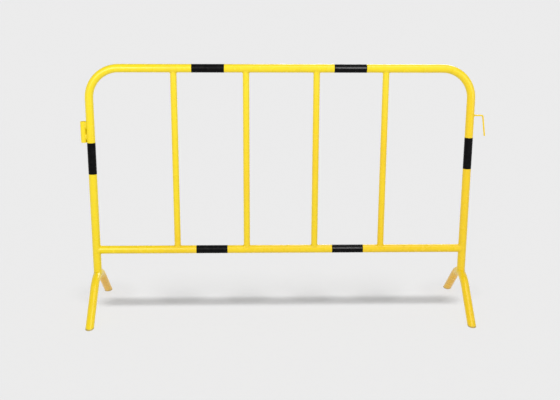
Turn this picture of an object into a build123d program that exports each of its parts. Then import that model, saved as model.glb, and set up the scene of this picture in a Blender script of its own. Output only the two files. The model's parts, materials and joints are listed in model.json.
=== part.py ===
"""Crowd control barrier: a bent-tube frame on two arched feet, with infill bars and linking hardware.

Origin on the ground, midway between the two uprights and under the frame's centre plane.
+X runs along the barrier towards the hook, +Y towards the back, +Z up. Millimetres.
"""

import os
from math import cos, radians, sin, tan

from build123d import *

os.makedirs("parts", exist_ok=True)

# ---------------------------------------------------------------- driving dimensions

# Frame
LENGTH = 1500               # over the outer faces of the two uprights
HEIGHT = 982                # ground to the top of the top rail
TUBE_OD = 32                # frame, bottom rail and feet
TUBE_WALL = 1.2
CORNER_RADIUS = 115         # centreline of the two upper corners
RAIL_HEIGHT = 247           # ground to the bottom rail's centreline

# Infill bars, with wider bays at the ends than in the middle
BAR_OD = 25
BAR_WALL = 1.0
BAR_X = (-411, -135, 135, 401)

# Feet
FOOT_HEIGHT = 161           # ground to the top of a foot's crown
FOOT_BEND_RADIUS = 130      # centreline of the bend over the crown
LEG_ANGLE = 41              # slope of a leg from the ground, degrees

# Film bands
BAND_LENGTH = 125
BAND_THICKNESS = 0.3
TOP_BAND_X = (-280, 264)
BOTTOM_BAND_X = (-274, 268)
LEFT_BAND_Z = 618
RIGHT_BAND_Z = 637

# Linking hook: a rod bent to an L, with its leg leaning away from the upright
HOOK_ROD = 6
HOOK_ARM_HEIGHT = 786
HOOK_REACH = 34             # upright's outer face to the corner of the L
HOOK_DROP = 81              # arm's centreline down to the tip
HOOK_LEAN = 8               # degrees off vertical
HOOK_BEND_RADIUS = 8

# Hook socket: a short pipe beside the upright
SOCKET_OD = 22
SOCKET_WALL = 2
SOCKET_LENGTH = 82
SOCKET_BASE = 681           # ground to its lower end
SOCKET_GAP = 0.3            # clearance left between pipe and upright
SOCKET_CHAMFER = 0.5

# Welds
WELD_LEG = 2.5              # round the tubes
HOOK_WELD_LEG = 2
STITCHES = ((692, 23), (735, 27))  # lower end above the ground, length
STITCH_RADIUS = 3.5
STITCH_Y = 7                # either side of the frame's centre plane
COPE_LIP = 3                # where the thin lips of an equal-size cope are cut blunt

# ---------------------------------------------------------------- derived positions

TUBE_R = TUBE_OD / 2
BAR_R = BAR_OD / 2
UPRIGHT_X = LENGTH / 2 - TUBE_R
TOP_RAIL_Z = HEIGHT - TUBE_R
CROWN_Z = FOOT_HEIGHT - TUBE_R
# height at which the two legs' centrelines would cross if the foot were not bent
LEG_APEX_Z = CROWN_Z + FOOT_BEND_RADIUS * (1 / cos(radians(LEG_ANGLE)) - 1)
# length of a leg's centreline from that crossing to well under the ground, before trimming
LEG_STOCK = (LEG_APEX_Z + 2 * TUBE_OD) / sin(radians(LEG_ANGLE))
HOOK_CORNER_X = LENGTH / 2 + HOOK_REACH
HOOK_TIP_X = HOOK_CORNER_X + HOOK_DROP * tan(radians(HOOK_LEAN))
SOCKET_X = -(LENGTH / 2 + SOCKET_GAP + SOCKET_OD / 2)
STITCH_X = -(LENGTH + SOCKET_GAP) / 2


def tube_section(outer_diameter, wall):
    """Draw the ring-shaped cross-section of a round tube in the current sketch."""
    Circle(outer_diameter / 2)
    Circle(outer_diameter / 2 - wall, mode=Mode.SUBTRACT)


def foot_path(x):
    """Centreline of the foot at x: two straight legs joined by the bend over the crown."""
    reach = LEG_STOCK * cos(radians(LEG_ANGLE))
    drop = LEG_STOCK * sin(radians(LEG_ANGLE))
    with BuildLine(Plane.YZ.offset(x)) as path:
        FilletPolyline(
            (-reach, LEG_APEX_Z - drop),
            (0, LEG_APEX_Z),
            (reach, LEG_APEX_Z - drop),
            radius=FOOT_BEND_RADIUS,
        )
    return path.line


# ---------------------------------------------------------------- frame

# One tube bent into an inverted U, its lower ends coped to sit on the feet's crowns.
with BuildPart() as frame_tube:
    with BuildLine(Plane.XZ) as frame_path:
        FilletPolyline(
            (-UPRIGHT_X, CROWN_Z + COPE_LIP),
            (-UPRIGHT_X, TOP_RAIL_Z),
            (UPRIGHT_X, TOP_RAIL_Z),
            (UPRIGHT_X, CROWN_Z + COPE_LIP),
            radius=CORNER_RADIUS,
        )
    with BuildSketch(Plane.XY.offset(CROWN_Z + COPE_LIP)):
        with Locations((-UPRIGHT_X, 0)):
            tube_section(TUBE_OD, TUBE_WALL)
    sweep(path=frame_path.line)
    for x in (-UPRIGHT_X, UPRIGHT_X):
        crown = foot_path(x)
        with BuildSketch(Plane(crown ^ 0)):
            Circle(TUBE_R)
        sweep(path=crown, mode=Mode.SUBTRACT)
frame_tube.part.label = "frame_tube"
export_step(frame_tube.part, "parts/frame_tube.step")

# Bottom rail, coped at both ends to the uprights.
with BuildPart() as bottom_rail:
    with BuildSketch(Plane.YZ):
        with Locations((0, RAIL_HEIGHT)):
            tube_section(TUBE_OD, TUBE_WALL)
    extrude(amount=UPRIGHT_X - COPE_LIP, both=True)
    with BuildSketch(Plane.XY):
        with Locations((-UPRIGHT_X, 0), (UPRIGHT_X, 0)):
            Circle(TUBE_R)
    extrude(amount=HEIGHT, mode=Mode.SUBTRACT)
bottom_rail.part.label = "bottom_rail"
export_step(bottom_rail.part, "parts/bottom_rail.step")

# Infill bars, coped at both ends to the two rails.
for number, bar_x in enumerate(BAR_X, start=1):
    with BuildPart() as infill_bar:
        with BuildSketch(Plane.XY.offset(RAIL_HEIGHT)):
            with Locations((bar_x, 0)):
                tube_section(BAR_OD, BAR_WALL)
        extrude(amount=TOP_RAIL_Z - RAIL_HEIGHT)
        with BuildSketch(Plane.YZ):
            with Locations((0, RAIL_HEIGHT), (0, TOP_RAIL_Z)):
                Circle(TUBE_R)
        extrude(amount=UPRIGHT_X, both=True, mode=Mode.SUBTRACT)
    infill_bar.part.label = f"infill_bar_{number}"
    export_step(infill_bar.part, f"parts/infill_bar_{number}.step")

# ---------------------------------------------------------------- feet

# Each foot is one tube bent over its crown, with both ends cut level with the ground.
for side, foot_x in (("left", -UPRIGHT_X), ("right", UPRIGHT_X)):
    leg_line = foot_path(foot_x)
    with BuildPart() as foot:
        with BuildSketch(Plane(leg_line ^ 0)):
            tube_section(TUBE_OD, TUBE_WALL)
        sweep(path=leg_line)
        split(bisect_by=Plane.XY, keep=Keep.TOP)
    foot.part.label = f"foot_{side}"
    export_step(foot.part, f"parts/foot_{side}.step")

# ---------------------------------------------------------------- film bands

RAIL_BANDS = (
    ("band_top_left", TOP_BAND_X[0], TOP_RAIL_Z),
    ("band_top_right", TOP_BAND_X[1], TOP_RAIL_Z),
    ("band_bottom_left", BOTTOM_BAND_X[0], RAIL_HEIGHT),
    ("band_bottom_right", BOTTOM_BAND_X[1], RAIL_HEIGHT),
)
for name, centre_x, height in RAIL_BANDS:
    with BuildPart() as rail_band:
        with BuildSketch(Plane.YZ.offset(centre_x)):
            with Locations((0, height)):
                tube_section(TUBE_OD + 2 * BAND_THICKNESS, BAND_THICKNESS)
        extrude(amount=BAND_LENGTH / 2, both=True)
    rail_band.part.label = name
    export_step(rail_band.part, f"parts/{name}.step")

UPRIGHT_BANDS = (
    ("band_upright_left", -UPRIGHT_X, LEFT_BAND_Z),
    ("band_upright_right", UPRIGHT_X, RIGHT_BAND_Z),
)
for name, upright_x, centre_z in UPRIGHT_BANDS:
    with BuildPart() as upright_band:
        with BuildSketch(Plane.XY.offset(centre_z)):
            with Locations((upright_x, 0)):
                tube_section(TUBE_OD + 2 * BAND_THICKNESS, BAND_THICKNESS)
        extrude(amount=BAND_LENGTH / 2, both=True)
    upright_band.part.label = name
    export_step(upright_band.part, f"parts/{name}.step")

# ---------------------------------------------------------------- linking hardware

# Hook: a rod running out from the upright, bent down into a leg that leans outwards.
with BuildPart() as linking_hook:
    with BuildLine(Plane.XZ) as hook_path:
        FilletPolyline(
            (UPRIGHT_X, HOOK_ARM_HEIGHT),
            (HOOK_CORNER_X, HOOK_ARM_HEIGHT),
            (HOOK_TIP_X, HOOK_ARM_HEIGHT - HOOK_DROP),
            radius=HOOK_BEND_RADIUS,
        )
    with BuildSketch(Plane(hook_path.line ^ 0)):
        Circle(HOOK_ROD / 2)
    sweep(path=hook_path.line)
    chamfer(linking_hook.faces().sort_by(Axis.Z)[0].edges(), HOOK_ROD / 6)
    with BuildSketch(Plane.XY):
        with Locations((UPRIGHT_X, 0)):
            Circle(TUBE_R)
    extrude(amount=HEIGHT, mode=Mode.SUBTRACT)
linking_hook.part.label = "linking_hook"
export_step(linking_hook.part, "parts/linking_hook.step")

# Socket: a short upright pipe that takes the neighbouring barrier's hook.
with BuildPart() as hook_socket:
    with BuildSketch(Plane.XY.offset(SOCKET_BASE)):
        with Locations((SOCKET_X, 0)):
            tube_section(SOCKET_OD, SOCKET_WALL)
    extrude(amount=SOCKET_LENGTH)
    chamfer(hook_socket.edges().filter_by(GeomType.CIRCLE), SOCKET_CHAMFER)
hook_socket.part.label = "hook_socket"
export_step(hook_socket.part, "parts/hook_socket.step")

# ---------------------------------------------------------------- welds

# Beads round the ends of the infill bars, following the curve of each rail.
for name, rail_z, toward_bar in (
    ("bar_top_welds", TOP_RAIL_Z, -1),
    ("bar_bottom_welds", RAIL_HEIGHT, 1),
):
    with BuildPart() as bar_welds:
        with BuildSketch(Plane.XY.offset(rail_z)):
            with Locations(*[(bar_x, 0) for bar_x in BAR_X]):
                tube_section(BAR_OD + 2 * WELD_LEG, WELD_LEG)
        extrude(amount=toward_bar * TUBE_OD)
        with BuildSketch(Plane.YZ):
            with Locations((0, rail_z)):
                Circle(TUBE_R + WELD_LEG)
        extrude(amount=UPRIGHT_X, both=True, mode=Mode.INTERSECT)
        with BuildSketch(Plane.YZ):
            with Locations((0, rail_z)):
                Circle(TUBE_R)
        extrude(amount=UPRIGHT_X, both=True, mode=Mode.SUBTRACT)
    bar_welds.part.label = name
    export_step(bar_welds.part, f"parts/{name}.step")

# Beads round the bottom rail's ends, on the inner side of each upright.
with BuildPart() as rail_end_welds:
    with BuildSketch(Plane.YZ):
        with Locations((0, RAIL_HEIGHT)):
            tube_section(TUBE_OD + 2 * WELD_LEG, WELD_LEG)
    extrude(amount=UPRIGHT_X - COPE_LIP, both=True)
    with BuildSketch(Plane.XY):
        with Locations((-UPRIGHT_X, 0), (UPRIGHT_X, 0)):
            Circle(TUBE_R + WELD_LEG)
    extrude(amount=HEIGHT, mode=Mode.INTERSECT)
    with BuildSketch(Plane.XY):
        with Locations((-UPRIGHT_X, 0), (UPRIGHT_X, 0)):
            Circle(TUBE_R)
    extrude(amount=HEIGHT, mode=Mode.SUBTRACT)
rail_end_welds.part.label = "rail_end_welds"
export_step(rail_end_welds.part, "parts/rail_end_welds.step")

# Beads between each upright's lower end and the crown of its foot.
with BuildPart() as foot_welds:
    with BuildSketch(Plane.XY.offset(CROWN_Z + COPE_LIP)):
        with Locations((UPRIGHT_X, 0)):
            tube_section(TUBE_OD + 2 * WELD_LEG, WELD_LEG)
    extrude(amount=TUBE_OD)
    crown = foot_path(UPRIGHT_X)
    with BuildSketch(Plane(crown ^ 0)):
        Circle(TUBE_R + WELD_LEG)
    sweep(path=crown, mode=Mode.INTERSECT)
    with BuildSketch(Plane(crown ^ 0)):
        Circle(TUBE_R)
    sweep(path=crown, mode=Mode.SUBTRACT)
    mirror(about=Plane.YZ)
foot_welds.part.label = "foot_welds"
export_step(foot_welds.part, "parts/foot_welds.step")

# Stitches in the two grooves between socket and upright: a shorter one low down, a longer one on top.
with BuildPart() as socket_welds:
    for stitch_base, stitch_length in STITCHES:
        with BuildSketch(Plane.XY.offset(stitch_base)):
            with Locations((STITCH_X, -STITCH_Y), (STITCH_X, STITCH_Y)):
                Circle(STITCH_RADIUS)
            with Locations((-UPRIGHT_X, 0)):
                Circle(TUBE_R, mode=Mode.SUBTRACT)
            with Locations((SOCKET_X, 0)):
                Circle(SOCKET_OD / 2, mode=Mode.SUBTRACT)
        extrude(amount=stitch_length)
socket_welds.part.label = "socket_welds"
export_step(socket_welds.part, "parts/socket_welds.step")

# Bead round the root of the hook's arm.
with BuildPart() as hook_weld:
    with BuildSketch(Plane.YZ.offset(UPRIGHT_X)):
        with Locations((0, HOOK_ARM_HEIGHT)):
            tube_section(HOOK_ROD + 2 * HOOK_WELD_LEG, HOOK_WELD_LEG)
    extrude(amount=TUBE_OD)
    with BuildSketch(Plane.XY):
        with Locations((UPRIGHT_X, 0)):
            Circle(TUBE_R + HOOK_WELD_LEG)
    extrude(amount=HEIGHT, mode=Mode.INTERSECT)
    with BuildSketch(Plane.XY):
        with Locations((UPRIGHT_X, 0)):
            Circle(TUBE_R)
    extrude(amount=HEIGHT, mode=Mode.SUBTRACT)
hook_weld.part.label = "hook_weld"
export_step(hook_weld.part, "parts/hook_weld.step")
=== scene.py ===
"""Crowd control barrier: looks, floor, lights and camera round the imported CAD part. Metres."""

import json
from math import cos, pi, radians, sin, sqrt

import bmesh
import bpy
from mathutils import Matrix, Vector, noise


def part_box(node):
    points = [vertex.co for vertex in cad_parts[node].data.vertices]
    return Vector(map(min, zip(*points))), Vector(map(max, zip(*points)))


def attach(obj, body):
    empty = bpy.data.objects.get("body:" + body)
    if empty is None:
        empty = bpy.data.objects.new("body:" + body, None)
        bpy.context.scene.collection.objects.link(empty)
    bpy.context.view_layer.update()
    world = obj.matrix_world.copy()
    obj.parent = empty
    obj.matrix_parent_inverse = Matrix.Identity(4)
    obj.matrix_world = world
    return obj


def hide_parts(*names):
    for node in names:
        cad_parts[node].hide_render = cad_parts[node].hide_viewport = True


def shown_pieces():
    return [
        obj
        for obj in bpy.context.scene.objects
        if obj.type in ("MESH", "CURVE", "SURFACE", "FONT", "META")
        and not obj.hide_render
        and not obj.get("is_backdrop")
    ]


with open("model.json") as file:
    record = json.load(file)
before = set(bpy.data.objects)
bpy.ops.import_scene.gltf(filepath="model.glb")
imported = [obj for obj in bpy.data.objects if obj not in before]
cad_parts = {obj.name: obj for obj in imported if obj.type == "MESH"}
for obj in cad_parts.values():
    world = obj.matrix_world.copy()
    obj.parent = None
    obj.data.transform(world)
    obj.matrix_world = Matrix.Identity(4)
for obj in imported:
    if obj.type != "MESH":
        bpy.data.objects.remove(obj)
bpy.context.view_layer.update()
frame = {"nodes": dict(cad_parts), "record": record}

scene = bpy.context.scene
scene.view_settings.view_transform = "Standard"

# ---------------------------------------------------------------- sizes, worked out from the frame

MM = 0.001
FRAME_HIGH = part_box("frame_tube")[1]
RAIL_LOW, RAIL_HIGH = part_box("bottom_rail")
TUBE_R = (RAIL_HIGH.z - RAIL_LOW.z) / 2
UPRIGHT_X = FRAME_HIGH.x - TUBE_R
TOP_RAIL_Z = FRAME_HIGH.z - TUBE_R
BOTTOM_RAIL_Z = (RAIL_HIGH.z + RAIL_LOW.z) / 2
CROWN_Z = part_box("foot_left")[1].z - TUBE_R
FOOT_BEND_RADIUS = 130 * MM     # of the tube's centreline, as in the CAD part
BARS = [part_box(f"infill_bar_{number}") for number in (1, 2, 3, 4)]
BAR_X = [(low.x + high.x) / 2 for low, high in BARS]
BAR_R = (BARS[0][1].x - BARS[0][0].x) / 2
HOOK_ROD_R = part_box("linking_hook")[1].y
HOOK_ARM_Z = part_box("linking_hook")[1].z - HOOK_ROD_R
SOCKET_LOW, SOCKET_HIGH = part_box("hook_socket")
SOCKET_R = SOCKET_HIGH.y
SOCKET_X = (SOCKET_LOW.x + SOCKET_HIGH.x) / 2

# ---------------------------------------------------------------- node helpers


class Nodes:
    """Adds nodes to one material's or world's tree and links them."""

    def __init__(self, tree):
        self.tree = tree

    def add(self, kind, inputs=None, **settings):
        """One node. An input is given a value, or the socket that feeds it."""
        node = self.tree.nodes.new(kind)
        for name, value in settings.items():
            setattr(node, name, value)
        for name, value in (inputs or {}).items():
            self.feed(node.inputs[name], value)
        return node

    def feed(self, socket, value):
        if isinstance(value, bpy.types.NodeSocket):
            self.tree.links.new(value, socket)
        else:
            socket.default_value = value

    def noise(self, place, scale, detail=2.0, roughness=0.5):
        """Smooth noise with about `scale` features to the metre."""
        settings = {"Vector": place, "Scale": scale, "Detail": detail, "Roughness": roughness}
        return self.add("ShaderNodeTexNoise", settings).outputs["Fac"]

    def ramp(self, value, start, end, low=0.0, high=1.0):
        """Low up to start, high from end, and a smooth step between them."""
        settings = {"Value": value, "From Min": start, "From Max": end,
                    "To Min": low, "To Max": high}
        node = self.add("ShaderNodeMapRange", settings, interpolation_type="SMOOTHSTEP")
        return node.outputs["Result"]

    def math(self, operation, *values):
        return self.add("ShaderNodeMath", dict(enumerate(values)), operation=operation).outputs[0]

    def mix(self, share, first, second):
        """From the first colour to the second as share goes from 0 to 1."""
        node = self.add("ShaderNodeMix", data_type="RGBA")
        self.feed(node.inputs["Factor"], share)
        self.feed(node.inputs[6], first)
        self.feed(node.inputs[7], second)
        return node.outputs[2]

    def bump(self, height, distance, before=None):
        """A bump of `distance` metres, laid over the bump before it."""
        settings = {"Height": height, "Distance": distance, "Strength": 1.0}
        if before is not None:
            settings["Normal"] = before
        return self.add("ShaderNodeBump", settings).outputs["Normal"]

    def position(self):
        """Where a point is in the row frame: every piece's own origin is the row's."""
        return self.add("ShaderNodeTexCoord").outputs["Object"]


def new_material(name):
    """A new material: returns it, its node helper and its Principled shader."""
    material = bpy.data.materials.new(name)
    material.use_nodes = True
    tree = material.node_tree
    return material, Nodes(tree), tree.nodes["Principled BSDF"]


# ---------------------------------------------------------------- materials

# paint colours
LEMON = (0.745, 0.580, 0.003, 1)
GOLDEN = (0.750, 0.505, 0.002, 1)
DEEP_GOLDEN = (0.52, 0.335, 0.002, 1)
# painted shade for the feet's rear legs
REAR_LEG_PAINTED_SHADE = (0.710, 0.415, 0.002, 1)
DULLED = (0.56, 0.44, 0.03, 1)
GROUND_EDGE_DARK = (0.20, 0.15, 0.085, 1)

# features to the metre in each layer of the paint
DRIFT_SCALE = 2.6
COAT_SCALE = 34
PATCH_SCALE = 9
GRAIN_SCALE = 420
SPECK_SCALE = 900
RAGGED_SCALE = 260
SHEEN_SCALE = 22
WAVE_SCALE = 55
PEEL_SCALE = 520

# how far each layer turns the colour towards its own
MOST_DRIFT = 0.4
PAINTED_LIGHT_BY_HEIGHT = 0.55      # painted light: more lemon per metre upwards, as the light falls from above
PAINTED_LIGHT_ALONG = -0.38         # and less per metre towards the hook: painted shade away from the light on the left
COAT_SHARE = 0.16
RUB_SHARE = 0.35
SPECK_SHARE = 0.35
GROUND_EDGE_SHARE = 0.75
# painted shade in the welds' valleys
VALLEY_SHADE_SHARE = 0.55

# where the rear legs' painted shade begins and is full, from the frame's centre plane
REAR_SHADE_START = 5 * MM
REAR_SHADE_FULL = 100 * MM

# the darker, rougher paint at the ground: how high its edge wanders, and where it is full and gone
# from there
RAGGED_REACH = 12 * MM
GROUND_EDGE_FULL = -5.5 * MM
GROUND_EDGE_END = 0.5 * MM

# gloss
PAINT_SPECULAR = 0.5
GLOSSIEST = 0.22
DULLEST = 0.31
RUB_ROUGHNESS = 0.15
GROUND_EDGE_ROUGHNESS = 0.35
WELD_ROUGHNESS = 0.14

# relief
WAVE_HEIGHT = 0.30 * MM
TUBE_PEEL = 0.03 * MM
WELD_PEEL = 0.06 * MM
RUB_DEPTH = 0.01 * MM


def yellow_paint(name, peel, on_weld=False):
    """Glossy sprayed enamel: drifting tone, painted light and shade, orange peel, faint rubs, and
    a darker, rougher edge at the ground.

    peel is the orange peel's height, in metres."""
    material, nodes, shader = new_material(name)
    place = nodes.position()

    axes = nodes.add("ShaderNodeSeparateXYZ", {"Vector": place}).outputs
    # the tone drifts at random between golden and lemon; on top of that, painted light makes it
    # more lemon towards the top and the left, and painted shade more golden towards the bottom and
    # the hook
    tone_and_painted_light = nodes.ramp(nodes.noise(place, DRIFT_SCALE), 0.34, 0.66, 0.0, MOST_DRIFT)
    tone_and_painted_light = nodes.math("MULTIPLY_ADD", axes["Z"], PAINTED_LIGHT_BY_HEIGHT, tone_and_painted_light)
    tone_and_painted_light = nodes.math("MULTIPLY_ADD", axes["X"], PAINTED_LIGHT_ALONG, tone_and_painted_light)
    colour = nodes.mix(nodes.ramp(tone_and_painted_light, 0.0, 1.0), GOLDEN, LEMON)

    # painted shade: the feet's rear legs are painted a shade deeper, blending in over the crown,
    # for the shade on their undersides
    behind = nodes.ramp(axes["Y"], REAR_SHADE_START, REAR_SHADE_FULL)
    colour = nodes.mix(behind, colour, REAR_LEG_PAINTED_SHADE)

    # where the coat is thin the colour is a little deeper
    coat = nodes.ramp(nodes.noise(place, COAT_SCALE, 3.0, 0.6), 0.50, 0.78)
    colour = nodes.mix(nodes.math("MULTIPLY", coat, COAT_SHARE), colour, DEEP_GOLDEN)

    # faint rubs from stacking and carrying, in patches
    patch = nodes.ramp(nodes.noise(place, PATCH_SCALE), 0.54, 0.68)
    grain = nodes.ramp(nodes.noise(place, GRAIN_SCALE, 4.0, 0.7), 0.52, 0.66)
    rub = nodes.math("MULTIPLY", patch, grain)
    colour = nodes.mix(nodes.math("MULTIPLY", rub, RUB_SHARE), colour, DULLED)

    # dust specks caught in the coat
    speck = nodes.ramp(nodes.noise(place, SPECK_SCALE, 1.0), 0.74, 0.80)
    colour = nodes.mix(nodes.math("MULTIPLY", speck, SPECK_SHARE), colour, DEEP_GOLDEN)

    # darker, rougher paint where the feet meet the ground, with a ragged edge
    ragged = nodes.math("MULTIPLY", nodes.noise(place, RAGGED_SCALE, 4.0, 0.7), RAGGED_REACH)
    above_edge = nodes.math("SUBTRACT", axes["Z"], ragged)
    near_ground = nodes.ramp(above_edge, GROUND_EDGE_FULL, GROUND_EDGE_END, 1.0, 0.0)
    colour = nodes.mix(nodes.math("MULTIPLY", near_ground, GROUND_EDGE_SHARE), colour, GROUND_EDGE_DARK)

    if on_weld:
        # painted shade: the weld ripples' valleys and buried roots are painted deeper golden, for
        # the shade in those creases
        valley = nodes.add("ShaderNodeAttribute", attribute_name="valley").outputs["Fac"]
        colour = nodes.mix(nodes.math("MULTIPLY", valley, VALLEY_SHADE_SHARE), colour, DEEP_GOLDEN)
    nodes.feed(shader.inputs["Base Color"], colour)

    sheen = nodes.ramp(nodes.noise(place, SHEEN_SCALE), 0.35, 0.65, GLOSSIEST, DULLEST)
    rough = nodes.math("ADD", sheen, nodes.math("MULTIPLY", rub, RUB_ROUGHNESS))
    rough = nodes.math("ADD", rough, nodes.math("MULTIPLY", near_ground, GROUND_EDGE_ROUGHNESS))
    if on_weld:
        rough = nodes.math("ADD", rough, WELD_ROUGHNESS)
    nodes.feed(shader.inputs["Roughness"], rough)
    shader.inputs["Specular IOR Level"].default_value = PAINT_SPECULAR

    waves = nodes.bump(nodes.noise(place, WAVE_SCALE, 1.0), WAVE_HEIGHT)
    skin = nodes.bump(nodes.noise(place, PEEL_SCALE), peel, waves)
    nodes.feed(shader.inputs["Normal"], nodes.bump(rub, RUB_DEPTH, skin))
    return material


FILM_BLACK = (0.0006, 0.0006, 0.0007, 1)
FILM_BLOOM = (0.0022, 0.0021, 0.0020, 1)
FILM_DUST = (0.05, 0.048, 0.042, 1)
FILM_SPECULAR = 0.07
FILM_GLOSSIEST = 0.25
FILM_DULLEST = 0.36
BLOOM_SCALE = 60
DUST_SCALE = 800
DUST_SHARE = 0.20
STRETCH_SCALE = 130
STRETCH_HEIGHT = 0.10 * MM
FILM_GRAIN_SCALE = 900
FILM_GRAIN_HEIGHT = 0.012 * MM


def black_film():
    """Self-adhesive vinyl: near black, glossy, with a faint stretch and a dusty bloom."""
    material, nodes, shader = new_material("black_film_gloss")
    place = nodes.position()
    bloom = nodes.ramp(nodes.noise(place, BLOOM_SCALE, 4.0, 0.6), 0.40, 0.75)
    colour = nodes.mix(bloom, FILM_BLACK, FILM_BLOOM)
    dust = nodes.ramp(nodes.noise(place, DUST_SCALE), 0.68, 0.78)
    colour = nodes.mix(nodes.math("MULTIPLY", dust, DUST_SHARE), colour, FILM_DUST)
    nodes.feed(shader.inputs["Base Color"], colour)
    rough = nodes.ramp(bloom, 0.0, 1.0, FILM_GLOSSIEST, FILM_DULLEST)
    nodes.feed(shader.inputs["Roughness"], rough)
    shader.inputs["Specular IOR Level"].default_value = FILM_SPECULAR
    stretch = nodes.bump(nodes.noise(place, STRETCH_SCALE), STRETCH_HEIGHT)
    grain = nodes.noise(place, FILM_GRAIN_SCALE)
    nodes.feed(shader.inputs["Normal"], nodes.bump(grain, FILM_GRAIN_HEIGHT, stretch))
    return material


TUBE_PAINT = yellow_paint("yellow_paint_tube", TUBE_PEEL)
WELD_PAINT = yellow_paint("yellow_paint_weld", WELD_PEEL, on_weld=True)
FILM = black_film()

SLOT_MATERIALS = {"yellow_paint": TUBE_PAINT, "black_film": FILM}
for part in frame["record"]["subparts"]:
    for slot in frame["nodes"][part["node"]].material_slots:
        slot.material = SLOT_MATERIALS[part["material_slot"]]

# ---------------------------------------------------------------- new pieces


def new_piece(name, vertices, faces, material, node):
    """A smooth mesh piece that rides on the part and stands for one CAD node."""
    mesh = bpy.data.meshes.new(name)
    mesh.from_pydata(vertices, [], faces)
    shell = bmesh.new()
    shell.from_mesh(mesh)
    bmesh.ops.recalc_face_normals(shell, faces=shell.faces)
    shell.to_mesh(mesh)
    shell.free()
    mesh.shade_smooth()
    mesh.materials.append(material)
    piece = bpy.data.objects.new(name, mesh)
    scene.collection.objects.link(piece)
    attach(piece, "root")
    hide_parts(node)
    return piece


def grid_faces(rings, points, closed_along):
    """Quads between rings of points. Each ring is closed, and the row of rings may be."""
    faces = []
    for ring in range(rings if closed_along else rings - 1):
        here = ring * points
        there = (ring + 1) % rings * points
        for point in range(points):
            after = (point + 1) % points
            faces.append((here + point, here + after, there + after, there + point))
    return faces


# ---------------------------------------------------------------- weld beads

WELD_LEG = 2.5 * MM
HOOK_WELD_LEG = 2.0 * MM
RIPPLE_PITCH = 2.6 * MM
STEPS_PER_RIPPLE = 6
BEAD_POINTS = 9             # across the bead's face
ROOT_DEPTH = 0.7 * MM       # how far the bead's root is buried
BURIED = 0.2 * MM           # and how far a stitch's toes are
UNEVEN = 0.12               # share by which a bead's width wanders
WANDER_RADIUS = 3           # of the closed path through the noise that it follows
CREST_SHARPNESS = 0.6       # power of the ripple's wave
CREST_BOW = 0.35            # ripples by which a crest's middle lies behind its toes
DOME_LIFT = 0.17            # the face's shape, as shares of the leg
CREST_LIFT = 0.10
TOE_DIP = 0.10
BAR_SADDLE = 1.15           # a coped joint's length, against the tube's plain circle
TUBE_SADDLE = 1.25


def ripple(phase):
    """One crescent of the bead: 1 on its crest, and 0 in the valley before the next."""
    return abs(sin(pi * phase)) ** CREST_SHARPNESS


def bead_ring(root, normal_a, normal_b, away_a, away_b, leg, phase, values):
    """The bead's section at one place: a low dome from toe to toe, closed by a buried root.

    Each point's valley value, 0 on a crest and 1 between two, is added to values: it marks the
    painted shade in the valleys."""
    out = (normal_a + normal_b).normalized()
    ring = []
    for index in range(BEAD_POINTS):
        share = index / (BEAD_POINTS - 1)
        middle = sin(pi * share)
        crest = ripple(phase + CREST_BOW * middle)
        flat = away_a * (1 - share) + away_b * share
        lift = (DOME_LIFT + CREST_LIFT * crest) * middle - TOE_DIP * (1 - middle)
        ring.append(root + flat * leg + out * lift * leg)
        values.append(1 - crest)
    ring.append(root - out * ROOT_DEPTH)
    values.append(1.0)
    return ring


def bead_loop(place, length, leg, seed):
    """A closed bead: its vertices, faces and valley values.

    place(t), t from 0 to 1, gives the bead's root and both surfaces' normals."""
    ripples = round(length / RIPPLE_PITCH)
    rings = ripples * STEPS_PER_RIPPLE
    vertices, values = [], []
    for index in range(rings):
        t = index / rings
        root, normal_a, normal_b = place(t)
        run = (place(t + 0.5 / rings)[0] - place(t - 0.5 / rings)[0]).normalized()
        away_a = normal_a.cross(run)
        away_b = run.cross(normal_b)
        spot = Vector((seed, WANDER_RADIUS * cos(2 * pi * t), WANDER_RADIUS * sin(2 * pi * t)))
        wide = leg * (1 + UNEVEN * noise.noise(spot))
        vertices += bead_ring(root, normal_a, normal_b, away_a, away_b, wide, t * ripples, values)
    return vertices, grid_faces(rings, BEAD_POINTS + 1, True), values


def joined(beads):
    """Several beads as one mesh's vertices, faces and values."""
    vertices, faces, values = [], [], []
    for bead_vertices, bead_faces, bead_values in beads:
        first = len(vertices)
        vertices += bead_vertices
        faces += [tuple(first + corner for corner in face) for face in bead_faces]
        values += bead_values
    return vertices, faces, values


def weld_piece(name, node, beads):
    """The beads as one painted piece that stands for a CAD node."""
    vertices, faces, values = joined(beads)
    piece = new_piece(name, vertices, faces, WELD_PAINT, node)
    valley = piece.data.attributes.new("valley", "FLOAT", "POINT")
    valley.data.foreach_set("value", values)


def bar_joint(bar_x, rail_z, side):
    """Round the end of an infill bar.

    side is 1 where the bar stands on the rail, and -1 where it hangs from it."""
    def place(t):
        angle = side * 2 * pi * t
        bar_normal = Vector((cos(angle), sin(angle), 0))
        y = BAR_R * sin(angle)
        rise = sqrt(TUBE_R**2 - y**2)
        root = Vector((bar_x + BAR_R * cos(angle), y, rail_z + side * rise))
        return root, bar_normal, Vector((0, y, side * rise)) / TUBE_R
    return place


def rail_joint(side):
    """Round the end of the bottom rail, on the upright at side -1 or 1."""
    def place(t):
        angle = -side * 2 * pi * t
        rail_normal = Vector((0, cos(angle), sin(angle)))
        y = TUBE_R * cos(angle)
        inset = sqrt(max(TUBE_R**2 - y**2, 0))
        root = Vector((side * (UPRIGHT_X - inset), y, BOTTOM_RAIL_Z + TUBE_R * sin(angle)))
        return root, rail_normal, Vector((-side * inset, y, 0)) / TUBE_R
    return place


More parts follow.
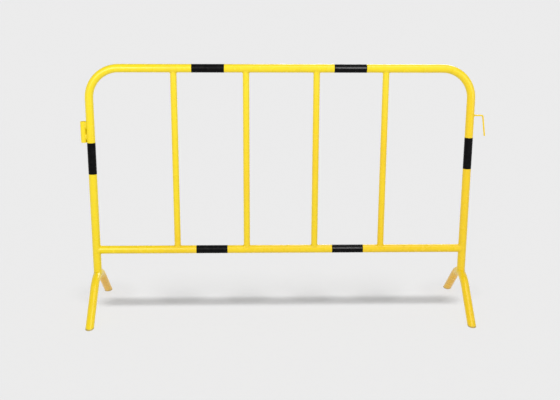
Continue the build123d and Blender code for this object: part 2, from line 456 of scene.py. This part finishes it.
def foot_joint(side):
    """Round the lower end of the upright at side -1 or 1, over the crown of its foot."""
    def place(t):
        angle = 2 * pi * t
        upright_normal = Vector((cos(angle), sin(angle), 0))
        x, y = TUBE_R * cos(angle), TUBE_R * sin(angle)
        reach = FOOT_BEND_RADIUS + sqrt(max(TUBE_R**2 - x**2, 0))
        rise = sqrt(reach**2 - y**2)
        spoke = Vector((0, y, rise)) / reach
        root = Vector((side * UPRIGHT_X + x, y, CROWN_Z - FOOT_BEND_RADIUS + rise))
        middle = spoke * FOOT_BEND_RADIUS
        foot_normal = (Vector((x, y, rise)) - middle) / TUBE_R
        return root, upright_normal, foot_normal
    return place


def hook_joint(t):
    """Round the root of the hook's arm, on the outer side of the right upright."""
    angle = 2 * pi * t
    rod_normal = Vector((0, cos(angle), sin(angle)))
    y = HOOK_ROD_R * cos(angle)
    inset = sqrt(TUBE_R**2 - y**2)
    root = Vector((UPRIGHT_X + inset, y, HOOK_ARM_Z + HOOK_ROD_R * sin(angle)))
    return root, rod_normal, Vector((inset, y, 0)) / TUBE_R


def build_welds():
    """Every closed bead. The last number of each is its seed."""
    bar_length = 2 * pi * BAR_R * BAR_SADDLE
    tube_length = 2 * pi * TUBE_R * TUBE_SADDLE
    weld_piece("bar_top_weld_beads", "bar_top_welds",
               [bead_loop(bar_joint(x, TOP_RAIL_Z, -1), bar_length, WELD_LEG, 1 + n)
                for n, x in enumerate(BAR_X)])
    weld_piece("bar_bottom_weld_beads", "bar_bottom_welds",
               [bead_loop(bar_joint(x, BOTTOM_RAIL_Z, 1), bar_length, WELD_LEG, 11 + n)
                for n, x in enumerate(BAR_X)])
    weld_piece("rail_end_weld_beads", "rail_end_welds",
               [bead_loop(rail_joint(side), tube_length, WELD_LEG, 21 + side) for side in (-1, 1)])
    weld_piece("foot_weld_beads", "foot_welds",
               [bead_loop(foot_joint(side), tube_length, WELD_LEG, 31 + side) for side in (-1, 1)])
    weld_piece("hook_weld_bead", "hook_weld",
               [bead_loop(hook_joint, 2 * pi * HOOK_ROD_R, HOOK_WELD_LEG, 41)])


# ---------------------------------------------------------------- stitch welds at the socket

LOW_STITCH = 23 * MM        # length of the lower stitches, and of the upper ones
HIGH_STITCH = 27 * MM
STITCH_ROOT_Y = 4.6 * MM    # how far the groove is filled, from the frame's centre plane
STITCH_FACE_Y = 8.8 * MM    # and how far out its toes lie
STITCH_WANDER = 0.15        # share by which its fill wanders
WANDER_LENGTH = 6           # of the path through the noise that it follows
STITCH_LEAST = 0.04         # share of the fill that is left at its ends
STITCH_BOW = 0.45           # ripples by which a crest's middle lies above its toes
STITCH_VALLEY = 0.55        # a valley's height against the crest's


def stitch(low_z, length, side, seed):
    """One short bead up the groove between socket and upright, tapered to nothing at both ends."""
    ripples = round(length / RIPPLE_PITCH)
    rings = ripples * STEPS_PER_RIPPLE + 1
    vertices, values = [], []
    for index in range(rings):
        t = index / (rings - 1)
        wander = STITCH_WANDER * noise.noise(Vector((seed, WANDER_LENGTH * t, 0)))
        fill = sqrt(1 - abs(2 * t - 1) ** 3) * (1 + wander)
        toe_y = STITCH_ROOT_Y + max(STITCH_LEAST, fill) * (STITCH_FACE_Y - STITCH_ROOT_Y)
        upright_toe = -UPRIGHT_X - sqrt(TUBE_R**2 - toe_y**2) + BURIED
        socket_toe = SOCKET_X + sqrt(SOCKET_R**2 - toe_y**2) - BURIED
        z = low_z + length * t
        for point in range(BEAD_POINTS):
            share = point / (BEAD_POINTS - 1)
            middle = sin(pi * share)
            crest = ripple(t * ripples - STITCH_BOW * middle)
            dome = (STITCH_VALLEY + (1 - STITCH_VALLEY) * crest) * middle * fill * MM
            x = upright_toe * (1 - share) + socket_toe * share
            vertices.append(Vector((x, side * (toe_y + dome), z)))
            values.append(1 - crest)
        vertices.append(Vector(((upright_toe + socket_toe) / 2, side * (STITCH_ROOT_Y - MM), z)))
        values.append(1.0)
    points = BEAD_POINTS + 1
    faces = grid_faces(rings, points, False)
    faces.append(tuple(reversed(range(points))))
    faces.append(tuple(range((rings - 1) * points, rings * points)))
    return vertices, faces, values


def build_stitches():
    """Four stitches as one piece: two heights, on both sides of the groove."""
    low, high = (corner.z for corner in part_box("socket_welds"))
    runs = ((low, LOW_STITCH), (high - HIGH_STITCH, HIGH_STITCH))
    beads = [stitch(start, length, side, 50 + start * 10 + side)
             for start, length in runs for side in (-1, 1)]
    weld_piece("socket_stitch_beads", "socket_welds", beads)


# ---------------------------------------------------------------- film bands

FILM_THICKNESS = 0.13 * MM
FILM_GAP = 0.02 * MM        # between the strip's inner face and the tube
FILM_MOST_LIFT = 0.15 * MM  # of that face off the tube, where it is lapped or puckered
FILM_EDGE_DIP = 0.04 * MM   # by which the outermost rows are pressed down
FILM_SKEW = 0.35 * MM       # by which the strip runs off square as it turns
FILM_SHORTER = 1 * MM       # than the CAD sleeve, to leave room for the skew
FILM_OVERLAP = 12 * MM
FILM_SEAM = radians(18)     # where the strip starts, from straight behind the tube
LAP_RISE = 0.10             # radians over which the outer end climbs onto the start
PUCKER_HEIGHT = 0.18 * MM
PUCKER_LEVEL = 0.15         # of the noise, below which the film lies flat
PUCKERS_ROUND = 1.4         # the path through the noise: its radius round the tube
PUCKERS_ALONG = 60          # and its length for each metre along it
FILM_TURNS = 150            # steps round the tube
FILM_ROWS = 44              # steps along it


def film_band(name, along, seed):
    """One strip of film wrapped once round a tube, its outer end overlapping its start.

    along is the tube's direction."""
    low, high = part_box(name)
    centre = (low + high) / 2
    length = (high - low).dot(along)
    behind = Vector((0, 1, 0))
    sideways = along.cross(behind)
    wrap = 2 * pi + FILM_OVERLAP / TUBE_R
    outer, inner = [], []
    for step in range(FILM_TURNS + 1):
        turn = wrap * step / FILM_TURNS
        angle = FILM_SEAM + turn
        spoke = behind * cos(angle) + sideways * sin(angle)
        lapped = max(0.0, min(1.0, (turn - 2 * pi + LAP_RISE) / LAP_RISE))
        lap = FILM_THICKNESS * lapped * lapped * (3 - 2 * lapped)
        skew = FILM_SKEW * sin(turn / 2 + seed)
        for row in range(FILM_ROWS + 1):
            share = row / FILM_ROWS
            offset = (share - 0.5) * (length - FILM_SHORTER) + skew
            walk = spoke * PUCKERS_ROUND + along * offset * PUCKERS_ALONG
            spot = Vector((seed, 0, 0)) + walk
            pucker = max(0.0, noise.noise(spot) - PUCKER_LEVEL) * PUCKER_HEIGHT
            rows_in = min(share, 1 - share) * FILM_ROWS
            dip = FILM_EDGE_DIP if rows_in < 1 else 0
            base = TUBE_R + min(FILM_GAP + lap + pucker, FILM_MOST_LIFT)
            inner.append(centre + spoke * base + along * offset)
            outer.append(centre + spoke * (base + FILM_THICKNESS - dip) + along * offset)
    columns, rows = FILM_TURNS + 1, FILM_ROWS + 1
    back = columns * rows
    faces = []
    for column in range(FILM_TURNS):
        for row in range(FILM_ROWS):
            corner = column * rows + row
            quad = (corner, corner + rows, corner + rows + 1, corner + 1)
            faces.append(quad)
            faces.append(tuple(back + index for index in reversed(quad)))
    rim = [column * rows for column in range(columns)]
    rim += [FILM_TURNS * rows + row for row in range(1, rows)]
    rim += [column * rows + FILM_ROWS for column in reversed(range(columns - 1))]
    rim += [row for row in reversed(range(1, FILM_ROWS))]
    for here, there in zip(rim, rim[1:] + rim[:1]):
        faces.append((there, here, back + here, back + there))
    new_piece(f"film_{name}", outer + inner, faces, FILM, name)


def build_bands():
    """Six bands. The last number of each is its seed."""
    on_rails = ("band_top_left", "band_top_right", "band_bottom_left", "band_bottom_right")
    for number, name in enumerate(on_rails):
        film_band(name, Vector((1, 0, 0)), 1.3 + number)
    for number, name in enumerate(("band_upright_left", "band_upright_right")):
        film_band(name, Vector((0, 0, 1)), 7.1 + number)


build_welds()
build_stitches()
build_bands()

# ---------------------------------------------------------------- floor, lights, camera

FLOOR_SIZE = 400
FLOOR_TONE = 0.1745
FLECK_SCALE = 30
FLECK = 0.008               # share by which the floor's tone varies
HORIZON_LIGHT = 0.84
ZENITH_LIGHT = 0.42
HORIZON_SINE = 0.05         # sine of the height up to which the horizon's light reaches
ZENITH_SINE = 0.75          # and from which the zenith's does
SUN_STRENGTH = 13.95        # of the overhead light, which only the floor sees
SUN_PLACE = (0, -1.06, 4)
SUN_ANGLE = radians(22)
WHITE = (1.0, 1.0, 1.0)

CAMERA_PLACE = (-0.1024, -3.2303, 1.2658)
CAMERA_PAN = radians(-1.7587)
CAMERA_TILT = radians(-14.1808)
CAMERA_ROLL = radians(-0.2528)
CAMERA_LENS = 54.15
CAMERA_SENSOR = 36


def build_floor():
    """A plain pale sheet, so wide that its edge is never seen."""
    half = FLOOR_SIZE / 2
    mesh = bpy.data.meshes.new("studio_floor")
    corners = [(-half, -half, 0), (half, -half, 0), (half, half, 0), (-half, half, 0)]
    mesh.from_pydata(corners, [], [(0, 1, 2, 3)])
    material, nodes, shader = new_material("studio_floor_paper")
    fleck = nodes.noise(nodes.position(), FLECK_SCALE, 4.0)
    darker = (FLOOR_TONE * (1 - FLECK),) * 3 + (1,)
    lighter = (FLOOR_TONE * (1 + FLECK),) * 3 + (1,)
    nodes.feed(shader.inputs["Base Color"], nodes.mix(fleck, darker, lighter))
    shader.inputs["Roughness"].default_value = 1.0
    shader.inputs["Specular IOR Level"].default_value = 0.0
    mesh.materials.append(material)
    floor = bpy.data.objects.new("studio_floor", mesh)
    scene.collection.objects.link(floor)
    floor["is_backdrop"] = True
    return floor


def build_world():
    """Light all round: about as bright as the floor at the horizon, dimmer overhead."""
    world = bpy.data.worlds.new("studio")
    scene.world = world
    world.use_nodes = True
    nodes = Nodes(world.node_tree)
    direction = nodes.add("ShaderNodeTexCoord").outputs["Generated"]
    height = nodes.add("ShaderNodeSeparateXYZ", {"Vector": direction}).outputs["Z"]
    brightness = nodes.ramp(height, HORIZON_SINE, ZENITH_SINE, HORIZON_LIGHT, ZENITH_LIGHT)
    background = world.node_tree.nodes["Background"]
    nodes.feed(background.inputs["Color"], brightness)


def only_on(light, name, receivers):
    """The light falls on these objects alone."""
    lit = bpy.data.collections.new(name)
    for receiver in receivers:
        lit.objects.link(receiver)
    light.light_linking.receiver_collection = lit


def add_light(name, kind, energy, colour, location, target):
    """A light at location, turned towards target."""
    data = bpy.data.lights.new(name, kind)
    data.energy = energy
    data.color = colour
    light = bpy.data.objects.new(name, data)
    scene.collection.objects.link(light)
    light.location = location
    light.rotation_euler = (Vector(target) - Vector(location)).to_track_quat("-Z", "Y").to_euler()
    return light


def softbox(name, energy, colour, location, target, size):
    """A rectangular light of this many watts, width and height, which no camera sees."""
    light = add_light(name, "AREA", energy, colour, location, target)
    light.data.shape = "RECTANGLE"
    light.data.size, light.data.size_y = size
    light.visible_camera = False
    return light


def build_lights(floor):
    """The overhead light is for the floor alone, and the softboxes are for the barrier."""
    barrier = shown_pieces()
    overhead = add_light("overhead", "SUN", SUN_STRENGTH, WHITE, SUN_PLACE, (0, 0, 0))
    overhead.data.angle = SUN_ANGLE
    only_on(overhead, "lit_by_overhead", [floor])
    # the photo's floor shadow is one plain strip under the rail: feet and top tube cast none
    without_shadow = ("foot", "frame_tube", "band_top", "film_band_top")
    shades = bpy.data.collections.new("shades_from_overhead")
    for piece in barrier:
        if not piece.name.startswith(without_shadow):
            shades.objects.link(piece)
    overhead.light_linking.blocker_collection = shades

    key = softbox("key", 44, (1.0, 0.995, 0.97),
                  (-1.35, -2.4, 1.75), (-0.1, 0, 0.55), (1.6, 1.6))
    only_on(key, "lit_by_key", barrier)
    top = softbox("top", 24, (1.0, 1.0, 0.98),
                  (0.7, -0.9, 2.8), (0.1, 0, 0.5), (2.2, 1.6))
    only_on(top, "lit_by_top", barrier)
    fill = softbox("fill", 20, (1.0, 0.98, 0.94),
                   (2.4, -2.0, 1.3), (0.2, 0, 0.5), (1.6, 1.6))
    only_on(fill, "lit_by_fill", barrier)
    # a warm card on the ground under each foot lifts the shaded undersides of its legs
    for side, name in ((-1, "left"), (1, "right")):
        x = side * UPRIGHT_X
        card = softbox(f"card_{name}", 0.040, (1.0, 0.42, 0.10),
                       (x, 0, 0.004), (x, 0, 1), (0.30, 0.36))
        only_on(card, f"lit_by_card_{name}", [frame["nodes"][f"foot_{name}"]])
    # a tall window, for a glint along the right-hand bands on both rails
    window = softbox("window", 165, WHITE,
                     (0.70, -2.6, 1.9), (0.2, 0, 0.6), (0.8, 1.4))
    film = [piece for piece in barrier if piece.name.startswith("film_")]
    only_on(window, "lit_by_window", film)
    rear = softbox("rear", 40, WHITE,
                   (0.9, 3.0, 2.2), (0, 0, 0.5), (2.0, 1.2))
    only_on(rear, "lit_by_rear", barrier)


def build_camera():
    """A camera at the photo's angle, fitted to the barrier's tubes."""
    data = bpy.data.cameras.new("camera")
    data.sensor_width = CAMERA_SENSOR
    data.lens = CAMERA_LENS
    data.clip_end = FLOOR_SIZE
    camera = bpy.data.objects.new("camera", data)
    scene.collection.objects.link(camera)
    turn = (
        Matrix.Rotation(CAMERA_PAN, 4, "Z")
        @ Matrix.Rotation(CAMERA_TILT, 4, "X")
        @ Matrix.Rotation(CAMERA_ROLL, 4, "Y")
        @ Matrix.Rotation(radians(90), 4, "X")
    )
    camera.matrix_world = Matrix.Translation(CAMERA_PLACE) @ turn
    scene.camera = camera


build_world()
build_lights(build_floor())
build_camera()
